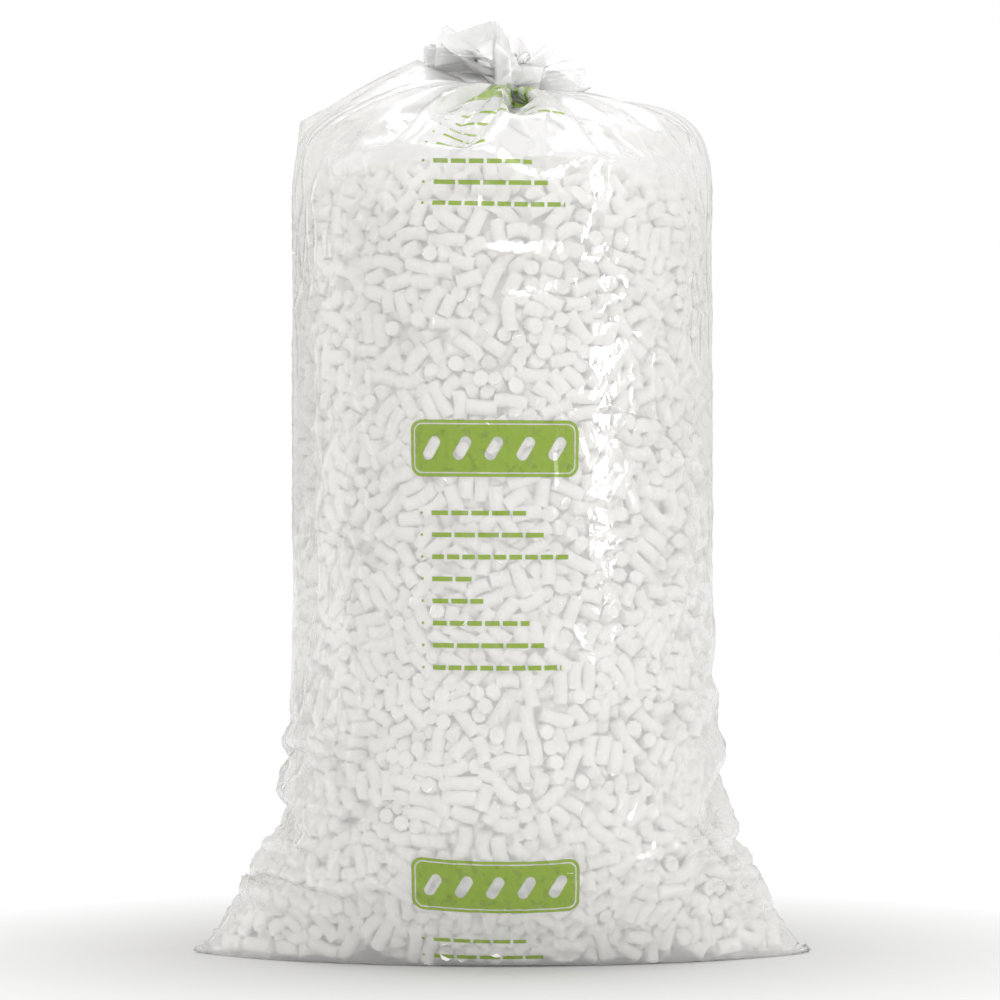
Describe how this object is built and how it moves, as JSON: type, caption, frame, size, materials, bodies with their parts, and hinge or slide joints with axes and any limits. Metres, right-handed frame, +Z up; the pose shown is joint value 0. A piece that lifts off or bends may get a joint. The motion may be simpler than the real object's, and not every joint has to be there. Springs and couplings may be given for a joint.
{
  "type": "packing peanut bag",
  "caption": "Clear film bag full of white foam packing peanuts, gathered at the neck, with a flat base and two pointed bottom corners.",
  "frame": {"origin": "middle of the flat base that the bag stands on", "axes": "+Z up along the bag, -Y towards the front, +X towards the right-hand bottom corner"},
  "size_m": [0.9266, 0.641, 1.3939],
  "materials": {
    "film": "clear, slightly milky film",
    "tape": "clear tape",
    "foam": "matte white starch foam"
  },
  "bodies": {
    "root": {"bag_film": "film", "neck_tie": "tape", "loose_fill": "foam", "peanut_01": "foam", "peanut_02": "foam", "peanut_03": "foam", "peanut_04": "foam", "peanut_05": "foam", "peanut_06": "foam", "peanut_07": "foam", "peanut_08": "foam", "peanut_09": "foam", "peanut_10": "foam", "peanut_11": "foam", "peanut_12": "foam", "peanut_13": "foam", "peanut_14": "foam", "peanut_15": "foam", "peanut_16": "foam", "peanut_17": "foam", "peanut_18": "foam", "peanut_19": "foam", "peanut_20": "foam", "peanut_21": "foam", "peanut_22": "foam", "peanut_23": "foam", "peanut_24": "foam"}
  },
  "joints": []
}
